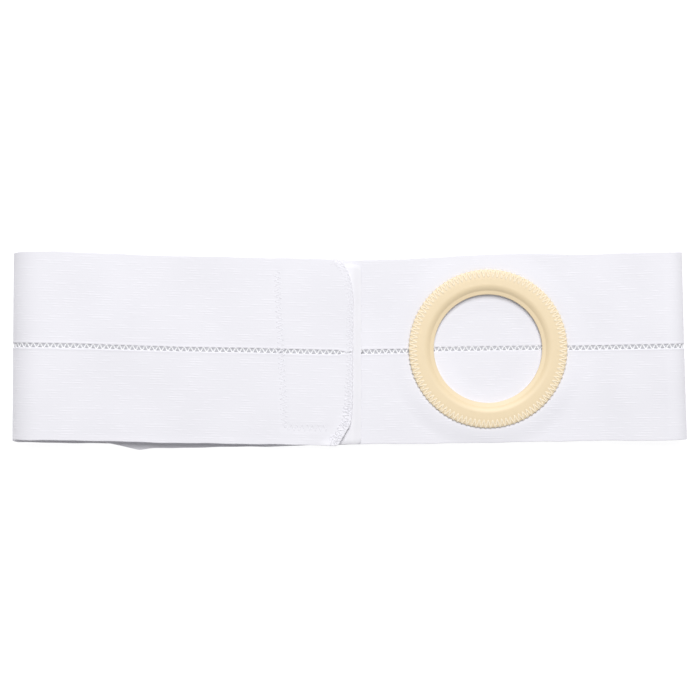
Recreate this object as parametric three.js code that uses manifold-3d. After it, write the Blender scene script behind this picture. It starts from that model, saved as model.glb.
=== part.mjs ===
// An elastic ostomy support belt with a moulded ring, fastened into a loop and lying flattened on its back.
// Millimetres, +Z up. X runs along the flattened loop, Y across the belt's width, and the ring faces up.
import * as THREE from "three";
import { mergeVertices } from "three/addons/utils/BufferGeometryUtils.js";
import Module from "manifold-3d";

const wasm = await Module();
wasm.setup();

// Driving dimensions
const ELASTIC_THICKNESS = 1.3; // woven elastic strip
const LOWER_EDGE = 52.0; // from the middle of the seam to the belt's lower edge
const SEAM_OPENING = 2.4; // open stitching between the upper and the lower strip
const SEAM_WIDTH = 1.8; // the stitching itself
const SEAM_THICKNESS = 0.6;
const CLEARANCE = 0.3; // between pieces that lie on each other
const LOOP_GAP = 5.2; // clear height between the back and the front panel at the ring

const RING_X = 76.8; // middle of the ring along the belt
const RING_RADIUS = 44.0; // outer edge of the sewn rim
const RING_OPENING_RADIUS = 30.15; // a 2 3/8 inch opening
const RING_STEP_TOP_RADIUS = 34.2; // where the face of the ring starts to fall towards the opening
const RING_STEP_FOOT_RADIUS = 31.8; // where that fall meets the thin inner lip
const RING_STEP_EASE = 1.0; // how gently the fall starts and ends
const RING_CROWN_RADIUS = 39.0; // the face is level inside this and slopes to the rim outside it
const RING_HEIGHT = 2.5;
const RING_RIM_HEIGHT = 1.7;
const RING_LIP_HEIGHT = 0.9;
const RING_EDGE_ROUND = 0.5;
const FABRIC_HOLE_RADIUS = 31.6; // the hole in the elastic, just wider than the ring's opening

const HOOK_THICKNESS = 1.8; // hook tape between the overlapping ends
const HOOK_LEFT = -38.0;
const HOOK_OVERHANG = 4.8; // how far the tape stands out past the belt's outer end
const HOOK_TOP = 47.6;
const HOOK_BOTTOM = -51.0;
const HOOK_CORNER = 2.5;

const OUTER_END_X = 1.5; // the belt's outer end, which lies over the inner end
const INNER_END_X = -143.0;

// Rounded corners of the two ends: how far each reaches along the belt and across it
const OUTER_CORNER = { along: 10, across: 24 };
const INNER_CORNER = { along: 26, across: 12 };

// Facets
const ARC_STEP = THREE.MathUtils.degToRad(9); // round a bend of the belt
const END_STEPS = 7; // round a corner of the belt's ends
const TAPE_STEPS = 4; // round a corner of the hook tape
const STEP_STEPS = 5; // down the step of the ring
const RING_SIDES = 96;
const SAME_PLACE = 0.02; // two facets closer than this along the belt are one
const WELD = 1e-4;

// Heights of the wall's middle line
const BACK_Z = ELASTIC_THICKNESS / 2;
const FRONT_Z = BACK_Z + ELASTIC_THICKNESS + LOOP_GAP;
const FLAP_Z = FRONT_Z + ELASTIC_THICKNESS + HOOK_THICKNESS + 2 * CLEARANCE;
const FRONT_FACE_Z = FRONT_Z + ELASTIC_THICKNESS / 2;

// The belt's route in the side view, from its inner end under the flap, round by the right, to its outer end
//   x, z   corner of the wall's middle line
//   bend   radius that rounds the corner
//   seam   Y of the open seam there
//   lean   how far the upper edge stands ahead of the lower one in X, over the belt's width
//   upper  from the middle of the seam to the belt's upper edge
const ROUTE = [
  { at: "inner end", x: INNER_END_X, z: FRONT_Z, bend: 0, seam: -3.3, lean: -1.9, upper: 51.0 },
  { at: "left of ring", x: 30, z: FRONT_Z, bend: 0, seam: -0.1, lean: -1.9, upper: 50.6 },
  { at: "above ring", x: 86, z: FRONT_Z, bend: 0, seam: 0.9, lean: -2.0, upper: 52.6 },
  { at: "right rise", x: 134, z: FRONT_Z, bend: 90, seam: 1.8, lean: -2.2, upper: 51.4 },
  { at: "right fold, top", x: 184.7, z: 19.6, bend: 8.4, seam: 2.7, lean: -2.8, upper: 51.2 },
  { at: "right fold, foot", x: 184.7, z: BACK_Z, bend: 8.2, seam: 2.7, lean: -2.8, upper: 51.2 },
  { at: "back", x: 0, z: BACK_Z, bend: 0, seam: -0.4, lean: -1.0, upper: 51.2 },
  { at: "left fold, foot", x: -186.4, z: BACK_Z, bend: 10.2, seam: 2.2, lean: 0.4, upper: 51.2 },
  { at: "left fold, top", x: -186.4, z: 26, bend: 11.6, seam: 2.6, lean: 0.4, upper: 51.4 },
  { at: "left fall", x: -132, z: FLAP_Z, bend: 70, seam: 1.8, lean: 1.0, upper: 51.2 },
  { at: "outer end", x: OUTER_END_X, z: FLAP_Z, bend: 0, seam: -0.3, lean: 0.5, upper: 50.6 },
];

// The route as one path of lines and arcs in X and Z, with the distance along it of each row and each facet.
function layRoute(rows) {
  const path = new THREE.Path();
  const rowStops = [0];
  const stops = [0];
  let reached = 0;
  path.moveTo(rows[0].x, rows[0].z);
  for (let i = 1; i < rows.length; i++) {
    const { bend } = rows[i];
    const here = new THREE.Vector2(rows[i].x, rows[i].z);
    const next = rows[i + 1] && new THREE.Vector2(rows[i + 1].x, rows[i + 1].z);
    const inward = here.clone().sub(path.currentPoint).normalize();
    const outward = next ? next.clone().sub(here).normalize() : inward;
    const turn = Math.atan2(inward.cross(outward), inward.dot(outward));
    const tangent = bend * Math.tan(Math.abs(turn) / 2);
    const arcStart = here.clone().addScaledVector(inward, -tangent);
    reached += arcStart.distanceTo(path.currentPoint);
    stops.push(reached);
    path.lineTo(arcStart.x, arcStart.y);
    if (tangent === 0) {
      rowStops.push(reached);
      continue;
    }
    const side = Math.sign(turn);
    const toCentre = new THREE.Vector2(-inward.y, inward.x).multiplyScalar(side * bend);
    const centre = arcStart.clone().add(toCentre);
    const startAngle = Math.atan2(-toCentre.y, -toCentre.x);
    path.absarc(centre.x, centre.y, bend, startAngle, startAngle + turn, side < 0);
    const arcLength = bend * Math.abs(turn);
    const facets = Math.max(2, Math.ceil(Math.abs(turn) / ARC_STEP));
    for (let k = 1; k <= facets; k++) stops.push(reached + (arcLength * k) / facets);
    rowStops.push(reached + arcLength / 2);
    reached += arcLength;
  }
  return { path, rowStops, stops, length: reached };
}

const route = layRoute(ROUTE);

// One column of the route's table, straight between its rows.
function columnAt(name, along) {
  const last = route.rowStops.length - 2;
  const row = Math.min(last, Math.max(0, route.rowStops.findLastIndex((stop) => stop <= along)));
  const share = (along - route.rowStops[row]) / (route.rowStops[row + 1] - route.rowStops[row]);
  return THREE.MathUtils.lerp(ROUTE[row][name], ROUTE[row + 1][name], share);
}

// The point a distance along the belt, across it from the seam and out from the wall's middle line.
function beltPoint(along, across, out) {
  const share = along / route.length;
  const middle = route.path.getPoint(share);
  const forward = route.path.getTangent(share);
  const lean = columnAt("lean", along) / (LOWER_EDGE + columnAt("upper", along));
  return new THREE.Vector3(
    middle.x + lean * across - forward.y * out,
    columnAt("seam", along) + across,
    middle.y + forward.x * out,
  );
}

// How much a rounded corner takes off an edge at a distance from the belt's end.
function cornerCut(fromEnd, corner) {
  const inside = Math.max(0, 1 - fromEnd / corner.along);
  return corner.across * (1 - Math.sqrt(1 - inside * inside));
}

// Distances from an end where its rounded corners have a facet, closer together near the end.
function cornerStops(corner) {
  const stops = [];
  for (let k = 1; k <= END_STEPS; k++) {
    const turned = (k * Math.PI) / (2 * END_STEPS);
    stops.push(corner.along * (1 - Math.cos(turned)));
  }
  return stops;
}

function allStops() {
  const inner = cornerStops(INNER_CORNER);
  const outer = cornerStops(OUTER_CORNER).map((reach) => route.length - reach);
  return [...route.stops, ...inner, ...outer].sort((a, b) => a - b);
}

// A closed skin over rings of four points each, with flat ends.
function skin(rings) {
  const position = rings.flat().flatMap((p) => [p.x, p.y, p.z]);
  const last = (rings.length - 1) * 4;
  const index = [0, 2, 1, 0, 3, 2, last, last + 1, last + 2, last, last + 2, last + 3];
  for (let start = 0; start < last; start += 4) {
    for (let k = 0; k < 4; k++) {
      const a = start + k;
      const b = start + ((k + 1) % 4);
      index.push(a, b, b + 4, a, b + 4, a + 4);
    }
  }
  const geometry = new THREE.BufferGeometry();
  geometry.setAttribute("position", new THREE.Float32BufferAttribute(position, 3));
  geometry.setIndex(index);
  return geometry;
}

// A wall that follows the belt between two lines along it.
function wall(stops, lowLine, highLine, thickness) {
  const half = thickness / 2;
  const rings = [];
  let before = -1;
  for (const along of stops) {
    if (along - before < SAME_PLACE) continue;
    before = along;
    const low = lowLine(along);
    const high = highLine(along);
    rings.push([
      beltPoint(along, low, -half),
      beltPoint(along, high, -half),
      beltPoint(along, high, half),
      beltPoint(along, low, half),
    ]);
  }
  return skin(rings);
}

// A geometry as a solid that can be cut, and back again.
function solidOf(geometry) {
  const bare = geometry.clone();
  bare.deleteAttribute("normal");
  bare.deleteAttribute("uv");
  const merged = mergeVertices(bare, WELD);
  return new wasm.Manifold(
    new wasm.Mesh({
      numProp: 3,
      vertProperties: merged.getAttribute("position").array,
      triVerts: new Uint32Array(merged.index.array),
    }),
  );
}

function geometryOf(solid) {
  const mesh = solid.getMesh();
  const geometry = new THREE.BufferGeometry();
  geometry.setAttribute("position", new THREE.BufferAttribute(mesh.vertProperties, 3));
  geometry.setIndex(new THREE.BufferAttribute(mesh.triVerts, 1));
  geometry.computeVertexNormals();
  return geometry;
}

const ringAlong = RING_X - INNER_END_X; // the front panel is straight from the inner end to past the ring
const ringY = columnAt("seam", ringAlong);

// A plug through the front panel alone, to cut the hole behind the ring.
function holePlug() {
  const plug = new THREE.CylinderGeometry(FABRIC_HOLE_RADIUS, FABRIC_HOLE_RADIUS, LOOP_GAP, RING_SIDES);
  plug.rotateX(Math.PI / 2);
  plug.translate(RING_X, ringY, FRONT_Z);
  return plug;
}

// An edge of the belt after its rounded corners, as a distance from the seam.
function edgeAt(along, width) {
  return width - cornerCut(along, INNER_CORNER) - cornerCut(route.length - along, OUTER_CORNER);
}

function elasticStrip(lowLine, highLine) {
  const strip = wall(allStops(), lowLine, highLine, ELASTIC_THICKNESS);
  return geometryOf(solidOf(strip).subtract(solidOf(holePlug())));
}

function upperStrip() {
  const upperEdge = (along) => edgeAt(along, columnAt("upper", along));
  return elasticStrip(() => SEAM_OPENING / 2, upperEdge);
}

function lowerStrip() {
  const lowerEdge = (along) => -edgeAt(along, LOWER_EDGE);
  return elasticStrip(lowerEdge, () => -SEAM_OPENING / 2);
}

// The stitched seam between two distances along the belt.
function seamStretch(from, to) {
  const between = route.stops.filter((stop) => stop > from && stop < to);
  const half = SEAM_WIDTH / 2;
  return wall([from, ...between, to], () => -half, () => half, SEAM_THICKNESS);
}

// The hook tape that holds the outer end down on the inner end.
function hookTape() {
  const left = HOOK_LEFT + HOOK_CORNER;
  const right = OUTER_END_X + HOOK_OVERHANG - HOOK_CORNER;
  const top = HOOK_TOP - HOOK_CORNER;
  const bottom = HOOK_BOTTOM + HOOK_CORNER;
  const outline = new THREE.Shape();
  outline.absarc(right, top, HOOK_CORNER, 0, Math.PI / 2);
  outline.absarc(left, top, HOOK_CORNER, Math.PI / 2, Math.PI);
  outline.absarc(left, bottom, HOOK_CORNER, Math.PI, 1.5 * Math.PI);
  outline.absarc(right, bottom, HOOK_CORNER, 1.5 * Math.PI, 2 * Math.PI);
  const size = { depth: HOOK_THICKNESS, bevelEnabled: false, curveSegments: TAPE_STEPS };
  const tape = new THREE.ExtrudeGeometry(outline, size);
  tape.translate(0, 0, FRONT_FACE_Z + CLEARANCE);
  return tape;
}

// The moulded ring: a level face, a rounded step down to a thin lip at the opening, and a lower sewn rim.
function mouldedRing() {
  const rimRadius = RING_RADIUS - RING_EDGE_ROUND;
  const rimHeight = RING_RIM_HEIGHT - RING_EDGE_ROUND;
  const profile = new THREE.Path();
  profile.moveTo(RING_OPENING_RADIUS, 0);
  profile.lineTo(RING_RADIUS, 0);
  profile.lineTo(RING_RADIUS, rimHeight);
  profile.absarc(rimRadius, rimHeight, RING_EDGE_ROUND, 0, Math.PI / 2);
  profile.lineTo(RING_CROWN_RADIUS, RING_HEIGHT);
  profile.lineTo(RING_STEP_TOP_RADIUS, RING_HEIGHT);
  profile.bezierCurveTo(
    RING_STEP_TOP_RADIUS - RING_STEP_EASE, RING_HEIGHT,
    RING_STEP_FOOT_RADIUS + RING_STEP_EASE, RING_LIP_HEIGHT,
    RING_STEP_FOOT_RADIUS, RING_LIP_HEIGHT,
  );
  profile.lineTo(RING_OPENING_RADIUS, RING_LIP_HEIGHT);
  profile.lineTo(RING_OPENING_RADIUS, 0);
  const ring = new THREE.LatheGeometry(profile.getPoints(STEP_STEPS), RING_SIDES);
  ring.rotateX(Math.PI / 2);
  ring.translate(RING_X, ringY, FRONT_FACE_Z + CLEARANCE);
  return ring;
}

function material(colour, roughness) {
  return new THREE.MeshStandardMaterial({ color: colour, roughness, metalness: 0 });
}

const whiteElastic = material(0xf1f0f5, 0.9);
const whiteThread = material(0xf7f7f8, 0.8);
const whiteTape = material(0xf2f2f3, 0.6);
const ivoryRing = material(0xf0deb8, 0.45);

const belt = new THREE.Group();

function add(name, geometry, finish) {
  const mesh = new THREE.Mesh(geometry, finish);
  mesh.name = name;
  belt.add(mesh);
}

const holeReach = FABRIC_HOLE_RADIUS + CLEARANCE;
add("upper_strip", upperStrip(), whiteElastic);
add("lower_strip", lowerStrip(), whiteElastic);
add("inner_seam", seamStretch(CLEARANCE, ringAlong - holeReach), whiteThread);
add("outer_seam", seamStretch(ringAlong + holeReach, route.length - CLEARANCE), whiteThread);
add("hook_tape", hookTape(), whiteTape);
add("belt_ring", mouldedRing(), ivoryRing);

// The origin is under the middle of the belt, on the surface that it lies on.
const box = new THREE.Box3().setFromObject(belt);
const middle = box.getCenter(new THREE.Vector3());
belt.children.forEach((piece) => piece.position.set(-middle.x, -middle.y, -box.min.z));

export default belt;
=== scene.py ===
"""Dresses a flattened ostomy support belt: woven elastic, sewn seams, a ring, hook tape and a studio."""

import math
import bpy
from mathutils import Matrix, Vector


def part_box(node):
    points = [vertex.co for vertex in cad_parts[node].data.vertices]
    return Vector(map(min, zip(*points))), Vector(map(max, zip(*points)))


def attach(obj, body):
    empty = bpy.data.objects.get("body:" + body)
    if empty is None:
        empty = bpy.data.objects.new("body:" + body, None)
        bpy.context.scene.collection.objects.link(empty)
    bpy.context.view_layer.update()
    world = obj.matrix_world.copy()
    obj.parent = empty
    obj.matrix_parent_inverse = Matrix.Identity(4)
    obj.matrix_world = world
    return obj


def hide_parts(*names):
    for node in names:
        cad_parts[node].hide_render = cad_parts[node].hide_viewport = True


bl_info = {
    "name": "Ostomy support belt",
    "version": (1, 0, 0),
    "blender": (4, 5, 0),
    "location": "3D View > Sidebar > Belt",
    "description": "Dresses the flattened support belt with elastic, stitching, ring, tape and studio",
    "category": "Object",
}

from collections import namedtuple
from functools import partial

import bpy
import numpy as np

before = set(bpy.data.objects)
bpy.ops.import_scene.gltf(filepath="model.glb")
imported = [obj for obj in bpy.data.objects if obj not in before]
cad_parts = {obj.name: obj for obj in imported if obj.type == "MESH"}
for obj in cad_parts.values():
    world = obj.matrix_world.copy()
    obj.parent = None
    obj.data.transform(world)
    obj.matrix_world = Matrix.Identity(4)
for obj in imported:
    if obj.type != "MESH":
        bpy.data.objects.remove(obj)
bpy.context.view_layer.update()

MM = 0.001

# Sizes in millimetres that are the same as in the solid belt
ELASTIC = 1.3  # thickness of the strips
LOWER_EDGE = 52.0  # from the line of the open seam
CLEARANCE = 0.3
LOOP_GAP = 5.2  # between the back panel and the front panel
HOOK_THICKNESS = 1.8
HOOK_LEFT, HOOK_RIGHT, HOOK_TOP = -38.0, 6.3, 47.6
HOOK_CORNER = 2.5
RING_X = 76.8
OUTER_END_X = 1.5
INNER_END_X = -143.0

# Sizes in millimetres that sewing and wear have changed from the solid belt's
SEAM_GAP = 1.95  # what the stitches leave of 2.4 mm
HOOK_BOTTOM = -52.4  # the tape's lower end has slipped out by 1.4 mm
FABRIC_HOLE = 30.5  # radius: the elastic has crept in from 31.6 mm, nearly to the ring's opening

HALF = ELASTIC / 2
BACK_Z = HALF
FRONT_Z = BACK_Z + ELASTIC + LOOP_GAP
FLAP_Z = FRONT_Z + ELASTIC + HOOK_THICKNESS + 2 * CLEARANCE
FRONT_FACE_Z = FRONT_Z + HALF

# A corner of a line in the side view and the radius that rounds it. On the belt's route it also holds the
# Y of the open seam, how far the upper edge leads the lower one in X, and the reach from the seam to the
# upper edge. The folds lie a little further out than the solid belt's, rounder above and sharper below,
# and the left one leans more.
Corner = namedtuple("Corner", "x z bend seam lean upper", defaults=(0, 0, 0))
ROUTE = (
    Corner(INNER_END_X, FRONT_Z, 0, -3.3, -1.9, 51.0),
    Corner(30, FRONT_Z, 0, -0.1, -1.9, 50.6),
    Corner(86, FRONT_Z, 0, 0.9, -2.0, 52.6),
    Corner(134, FRONT_Z, 90, 1.8, -2.2, 51.4),
    Corner(185.6, 19.6, 9.8, 2.7, -2.8, 51.2),
    Corner(185.6, BACK_Z, 6.3, 2.7, -2.8, 51.2),
    Corner(0, BACK_Z, 0, -0.4, -1.0, 51.2),
    Corner(-186.85, BACK_Z, 6.5, 2.2, 0.8, 51.2),
    Corner(-186.85, 26, 14.3, 2.6, 0.8, 51.4),
    Corner(-132, FLAP_Z, 70, 1.8, 1.0, 51.2),
    Corner(OUTER_END_X, FLAP_Z, 0, -0.3, 0.5, 50.6),
)
ROUTE_STEP = 0.25

# Rounded corners of the belt's two ends: how far each reaches along the belt and across it
EndCorner = namedtuple("EndCorner", "along across")
OUTER_CORNER = EndCorner(10, 24)
INNER_CORNER = EndCorner(26, 12)

# The lower corners are trimmed straight as well: how far from the end the trim starts and how steeply it runs
Trim = namedtuple("Trim", "start slope")
OUTER_TRIM = Trim(8.0, 1.7)
INNER_TRIM = Trim(24.0, 0.25)

# The ring's section from its opening outwards, with the radius that softens each edge of the moulding
RING_SECTION = (
    Corner(30.15, -0.12, 0.15),
    Corner(42.2, -0.12, 0.3),
    Corner(44.0, 1.15, 0.15),
    Corner(44.0, 2.0, 0.4),
    Corner(42.9, 2.3, 1.5),
    Corner(39.0, 2.5, 7.0),
    Corner(34.3, 2.5, 5.6),
    Corner(32.3, 1.2, 0.6),
    Corner(30.15, 0.8, 0.3),
)
SECTION_STEP = 0.35

# Where the hook tape is sewn to the outer end, as lines of zigzag stitches in X and Y
Sewn = namedtuple("Sewn", "x0 y0 x1 y1")
TAPE_SEAMS = (
    Sewn(-40.5, 43.5, -36.2, -42.0),
    Sewn(-36.2, -43.0, -12.5, -43.2),
)

# A rounded line: its points' distances, places and headings, and the distance at which each corner is passed
Line = namedtuple("Line", "along x z heading marks")


def rounded(corners, step, closed=False):
    """A line through points about a step apart, with its corners rounded."""
    stops = [np.array((c.x, c.z), float) for c in corners]
    bends = [c.bend for c in corners]
    if closed:  # starts and ends half way along the last side
        start = (stops[-1] + stops[0]) / 2
        stops, bends = [start, *stops, start], [0, *bends, 0]
    at = stops[0]
    heading = math.atan2(*(stops[1] - at)[::-1])
    along, points, headings, marks = [0.0], [at], [heading], [0.0]
    for i in range(1, len(stops)):
        turn = 0.0
        if i + 1 < len(stops):
            turn = math.remainder(math.atan2(*(stops[i + 1] - stops[i])[::-1]) - heading, 2 * math.pi)
        run = np.linalg.norm(stops[i] - at) - bends[i] * math.tan(abs(turn) / 2)
        arc = bends[i] * abs(turn)
        reached = along[-1]
        forward = np.array((math.cos(heading), math.sin(heading)))
        for share in np.linspace(0, 1, max(1, math.ceil(run / step)) + 1)[1:]:
            along.append(reached + run * share)
            points.append(at + forward * run * share)
            headings.append(heading)
        at = points[-1]
        marks.append(reached + run + arc / 2)
        if arc > 0:
            side = math.copysign(bends[i], turn)
            centre = at + side * np.array((-math.sin(heading), math.cos(heading)))
            for share in np.linspace(0, 1, max(3, math.ceil(arc / step)) + 1)[1:]:
                angle = heading + turn * share
                along.append(reached + run + arc * share)
                points.append(centre + side * np.array((math.sin(angle), -math.cos(angle))))
                headings.append(angle)
            at = points[-1]
        heading += turn
    x, z = np.array(points).T
    return Line(np.array(along), x, z, np.array(headings), np.array(marks))


BELT = rounded(ROUTE, ROUTE_STEP)
BELT_LENGTH = BELT.along[-1]
BACK_MIDDLE, LEFT_FOLD = BELT.marks[6:8]  # X = 0 on the back panel, and the left fold's lower corner
RING_ALONG = RING_X - INNER_END_X
UNDER_RING = BACK_MIDDLE - RING_X  # the same spot on the back panel


def column(name, along):
    """One column of the route's table at distances along the belt."""
    return np.interp(along, BELT.marks, [getattr(corner, name) for corner in ROUTE])


RING_Y = float(column("seam", RING_ALONG))
ring_low, ring_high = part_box("belt_ring")
RING_FOOT = np.array((ring_low + ring_high) / 2) * (1, 1, 0)  # the spot on the table under the ring's middle
SHIFT = RING_FOOT - np.array((RING_X, RING_Y, 0)) * MM  # from the places above to those in the frame


def lean_at(along):
    """How far the belt leads in X for each millimetre across it."""
    return column("lean", along) / (LOWER_EDGE + column("upper", along))


def belt_place(along, across, out):
    """Points in metres, from millimetres along the belt, across from its seam and out from mid-wall."""
    along, across, out = np.broadcast_arrays(along, across, out)
    on = np.clip(along, 0, BELT_LENGTH)
    past = along - on
    heading = np.interp(on, BELT.along, BELT.heading)
    x = np.interp(on, BELT.along, BELT.x) + past * np.cos(heading) - out * np.sin(heading)
    z = np.interp(on, BELT.along, BELT.z) + past * np.sin(heading) + out * np.cos(heading)
    return np.stack((x + lean_at(on) * across, column("seam", on) + across, z), -1) * MM + SHIFT


def belt_out(along):
    """The direction out of the belt's wall."""
    heading = np.interp(along, BELT.along, BELT.heading)
    return np.stack((-np.sin(heading), np.zeros_like(heading), np.cos(heading)), -1)


def facing_up(along):
    """1 where the belt's outer face looks up, -1 where it looks down, smooth through the folds."""
    return belt_out(along)[..., 2]


def flap_spot(x, y):
    """Distance along the belt and across it of a spot on the outer end, from its X and Y."""
    along = BELT_LENGTH - (OUTER_END_X - x)
    across = y - column("seam", along)
    return along - lean_at(along) * across, across


def from_line(x, y, sewn):
    """Distance of points from a line of stitches."""
    start = np.array((sewn.x0, sewn.y0))
    way = np.array((sewn.x1, sewn.y1)) - start
    share = np.clip(((x - start[0]) * way[0] + (y - start[1]) * way[1]) / (way @ way), 0, 1)
    return np.hypot(x - start[0] - share * way[0], y - start[1] - share * way[1])


# Where a worn or drawn-in form starts and where it is full, in millimetres
Ramp = namedtuple("Ramp", "start full")


def ease(value, start, full):
    """0 up to the start, 1 from where it is full, and smooth between. Either may be the larger."""
    share = np.clip((value - start) / (full - start), 0, 1)
    return share * share * (3 - 2 * share)


def quarter(inside):
    """How far a quarter of a circle has dropped, from 0 at its start to 1 at its end."""
    return 1 - np.sqrt(1 - np.clip(inside, 0, 1) ** 2)


# How far the stitches have drawn the open seam off its line, towards the lower edge where negative
Drawn = namedtuple("Drawn", "along aside")
SEAM_PATH = (
    Drawn(0, -0.55),
    Drawn(RING_ALONG + 90, -0.55),
    Drawn(UNDER_RING, -0.1),
    Drawn(BELT_LENGTH - 155, 0.15),
    Drawn(BELT_LENGTH - 95, -0.85),
    Drawn(BELT_LENGTH - 60, -0.8),
    Drawn(BELT_LENGTH - 15, -1.2),
)
SEAM_CLOSED = 0.7  # share of the seam's width that the overlock draws shut
SEAM_CLOSING = Ramp(8.0, 5.5)  # from the outer end


def seam_middle(along):
    """Where the middle of the open seam lies, across from its line."""
    return np.interp(along, *zip(*SEAM_PATH))


def seam_half(along):
    """Half of the open seam's width, which the overlock draws nearly shut at the outer end."""
    return SEAM_GAP / 2 * (1 - SEAM_CLOSED * ease(BELT_LENGTH - along, *SEAM_CLOSING))


PANEL_PUSH = 5.1  # how far the back panel is pushed up under the ring
PUSH_START = 62  # distance from the ring's middle
OPENING_DIP = 0.6  # how far it sinks again within the opening
DIP_WIDTH = 11  # in from the edge of the hole


def pushed_up(beside, across):
    """How far the back panel is pushed up under the ring, from distances to the ring's middle."""
    to_middle = np.hypot(beside, across)
    dip = OPENING_DIP * ease(to_middle, FABRIC_HOLE, FABRIC_HOLE - DIP_WIDTH)
    return PANEL_PUSH * ease(to_middle, PUSH_START, FABRIC_HOLE) - dip


def to_outline(along, across):
    """Distance in from the rounded outline of the outer end."""
    reach = np.where(across > 0, column("upper", along), LOWER_EDGE)
    inside = (np.abs(across) - reach + OUTER_CORNER.across) / OUTER_CORNER.across
    return BELT_LENGTH - along - OUTER_CORNER.along * quarter(inside)


# The flap, from the left fold to the outer end
FLAP = Ramp(175, 130)  # back from the outer end
SWELL_HEIGHT, SWELL_LENGTH, SWELL_SLANT, SWELL_START = 0.22, 78, 60, 0.9
SWELL_IN = Ramp(0, 25)  # in from the outline
PULL_DEPTH, PULL_WIDTH = 0.2, 1.7  # of the lines where the tape is sewn on
CURL_HEIGHT = 2.4  # of the lower corner, which has worked loose
CURL_DOWN, CURL_IN = Ramp(31, 53), Ramp(9, 0)  # down from the seam, and in from the outline
LIFT_HEIGHT, LIFT_DOWN = 0.15, Ramp(49, 52)  # of the lower edge


def flap_relief(along, across):
    """How far the flap stands out: soft swells, pulled-in lines of stitches and a lifted lower corner."""
    from_end = BELT_LENGTH - along
    inset = to_outline(along, across)
    phase = 2 * math.pi * from_end / SWELL_LENGTH + SWELL_START + across / SWELL_SLANT
    swell = SWELL_HEIGHT * (1 + np.sin(phase)) * ease(inset, *SWELL_IN)
    x, y = OUTER_END_X - from_end, column("seam", along) + across
    pulled = sum(np.exp(-((from_line(x, y, sewn) / PULL_WIDTH) ** 2)) for sewn in TAPE_SEAMS)
    curl = CURL_HEIGHT * ease(-across, *CURL_DOWN) * ease(inset, *CURL_IN)
    lift = LIFT_HEIGHT * ease(-across, *LIFT_DOWN)
    return ease(from_end, *FLAP) * (swell - PULL_DEPTH * np.minimum(pulled, 1) + curl + lift)


# The front panel, from the hidden inner end to the right fold
SAG_DEPTH = 5.1  # of the inner end's lower edge
SAG_DOWN, SAG_ALONG = Ramp(27, 52), Ramp(104, 84)  # down from the seam, and along the belt
DRAWN_HEIGHT = 0.7  # how far the ring's stitches draw the elastic up
DRAWN_BELOW, DRAWN_DOWN = 0.6, Ramp(0, 30)  # how much more that is below the seam
DRAWN_RISE, DRAWN_FALL = Ramp(57, 44.4), Ramp(42.4, 44.0)  # distances from the ring's middle
RIPPLE_HEIGHT, RIPPLE_LENGTH, RIPPLE_SLANT = 0.15, 31, 23  # on the rise to the fold
RIPPLE_RISE, RIPPLE_FALL = Ramp(268, 290), Ramp(345, 325)  # along the belt


def panel_relief(along, across):
    """How far the front panel stands out: a sagging inner end, a drawn-up ring seat and ripples."""
    sag = SAG_DEPTH * ease(-across, *SAG_DOWN) * ease(along, *SAG_ALONG)
    to_ring = np.hypot(along - RING_ALONG, across)
    height = DRAWN_HEIGHT + DRAWN_BELOW * ease(-across, *DRAWN_DOWN)
    drawn = height * ease(to_ring, *DRAWN_RISE) * ease(to_ring, *DRAWN_FALL)
    share = ease(along, *RIPPLE_RISE) * ease(along, *RIPPLE_FALL)
    ripple = RIPPLE_HEIGHT * share * np.sin(2 * math.pi * along / RIPPLE_LENGTH + across / RIPPLE_SLANT)
    return ripple - sag + drawn


# The woven edges beside the open seam, which stand up as low beads where the belt is off the table
SELVAGE_HEIGHT, SELVAGE_IN, SELVAGE_WIDTH = 0.14, 0.75, 0.55
OFF_TABLE = Ramp(1.5, 5.0)


def selvage(along, across):
    """How far the edges beside the open seam stand out."""
    from_gap = np.abs(across - seam_middle(along)) - seam_half(along)
    bead = np.exp(-(((from_gap - SELVAGE_IN) / SELVAGE_WIDTH) ** 2))
    return SELVAGE_HEIGHT * bead * ease(np.interp(along, BELT.along, BELT.z), *OFF_TABLE)


def relief(along, across):
    """How far the elastic stands out of its plain wall."""
    return flap_relief(along, across) + panel_relief(along, across) + selvage(along, across)


PRESSED = 0.45  # share of the thickness that the overlock takes from the outer end at its outline
PRESSED_IN = Ramp(3.6, 0)  # in from the outline
PRESSED_DOWN = 0.5  # how far the elastic would sink if all its thickness went


def sewn_down(along, across, out):
    """Thins the outer end towards its outline, where the overlock presses it down on the tape."""
    pressed = 1 - PRESSED * ease(to_outline(along, across), *PRESSED_IN)
    return (out + HALF) * pressed - HALF - PRESSED_DOWN * (1 - pressed)


# Stretches where an edge has been drawn out of its line: how far, and the distances along the belt where
# that starts, is full, begins to fade and is gone
Slack = namedtuple("Slack", "out start full fade gone")
UPPER_SLACK = (
    Slack(0.25, 150, 190, 330, 350),  # the front panel
    Slack(0.6, BELT_LENGTH - 188, BELT_LENGTH - 165, BELT_LENGTH - 132, BELT_LENGTH - 115),  # by the fold
)
LOWER_SLACK = (
    Slack(0.8, -1, 0, 22, 33),  # the corner of the hidden inner end
    Slack(0.5, -1, 0, 90, 130),  # the inner end
    Slack(0.4, 150, 190, 330, 350),  # the front panel
    Slack(2.1, LEFT_FOLD - 120, LEFT_FOLD - 70, LEFT_FOLD - 2, LEFT_FOLD + 14),  # the back panel
    Slack(0.85, BELT_LENGTH - 165, BELT_LENGTH - 105, BELT_LENGTH, BELT_LENGTH + 1),  # the flap
)

# Slight unevenness of the woven edges: how far, over what length, and how far the upper edge is ahead
Wobble = namedtuple("Wobble", "out length ahead")
WOBBLES = (
    Wobble(0.1, 6.7, 2),
    Wobble(0.06, 2.9, 1),
)


def corner_cut(from_end, corner, trim):
    """How much of the belt's width a rounded corner takes off, and its trim where there is one."""
    cut = corner.across * quarter(1 - from_end / corner.along)
    return np.maximum(cut, trim.slope * (trim.start - from_end)) if trim else cut


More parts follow.
